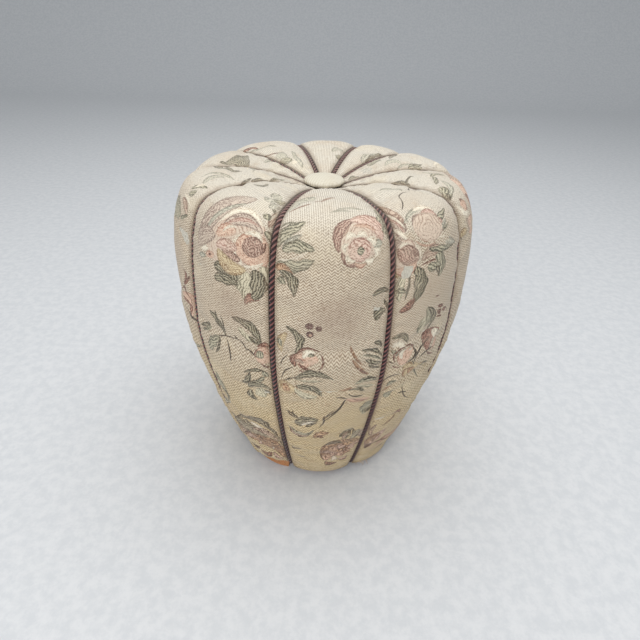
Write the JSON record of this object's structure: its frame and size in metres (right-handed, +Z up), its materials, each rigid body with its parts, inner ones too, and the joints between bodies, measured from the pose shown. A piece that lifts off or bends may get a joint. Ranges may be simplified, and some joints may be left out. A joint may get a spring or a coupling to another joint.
{
  "type": "fluted footstool",
  "caption": "Round upholstered footstool with vertical stuffed flutes, corded seams that meet at a covered button on a domed seat, and a narrower timber base.",
  "frame": {"origin": "on the floor, on the axis under the button", "axes": "+Z up; the widest flute and the front face -Y; +X to the right as seen from the front"},
  "size_m": [0.3929, 0.3959, 0.4312],
  "materials": {
    "tapestry": "woven floral tapestry with a small herringbone, matte and worn",
    "wadding": "soft cotton wadding",
    "cord": "three-strand twisted cord, dark maroon with paler strands",
    "timber": "bare beech, oiled by age",
    "spring_wire": "drawn wire",
    "hessian": "coarse open weave",
    "webbing": "woven strip with two dark lines",
    "twine": "laid twine",
    "hair": "curled hair",
    "button_cloth": "plain cream cloth",
    "dust_cloth": "thin black lining",
    "glide_steel": "domed steel"
  },
  "bodies": {
    "root": {"cover_panel_01": "tapestry", "channel_pad_01": "wadding", "piping_cord_01": "cord", "base_block_01": "timber", "cover_panel_02": "tapestry", "channel_pad_02": "wadding", "piping_cord_02": "cord", "base_block_02": "timber", "cover_panel_03": "tapestry", "channel_pad_03": "wadding", "piping_cord_03": "cord", "base_block_03": "timber", "cover_panel_04": "tapestry", "channel_pad_04": "wadding", "piping_cord_04": "cord", "base_block_04": "timber", "cover_panel_05": "tapestry", "channel_pad_05": "wadding", "piping_cord_05": "cord", "base_block_05": "timber", "cover_panel_06": "tapestry", "channel_pad_06": "wadding", "piping_cord_06": "cord", "base_block_06": "timber", "cover_panel_07": "tapestry", "channel_pad_07": "wadding", "piping_cord_07": "cord", "base_block_07": "timber", "cover_panel_08": "tapestry", "channel_pad_08": "wadding", "piping_cord_08": "cord", "base_block_08": "timber", "cover_panel_09": "tapestry", "channel_pad_09": "wadding", "piping_cord_09": "cord", "base_block_09": "timber", "cover_panel_10": "tapestry", "channel_pad_10": "wadding", "piping_cord_10": "cord", "base_block_10": "timber", "post_01": "timber", "post_02": "timber", "post_03": "timber", "post_04": "timber", "spring_01": "spring_wire", "spring_02": "spring_wire", "spring_03": "spring_wire", "spring_04": "spring_wire", "spring_05": "spring_wire", "base_board": "timber", "top_ring": "timber", "side_hessian": "hessian", "seat_webbing": "webbing", "spring_ties": "twine", "spring_hessian": "hessian", "seat_stuffing": "hair", "button": "button_cloth", "button_twine": "twine", "dust_cover": "dust_cloth", "glides": "glide_steel"}
  },
  "joints": []
}
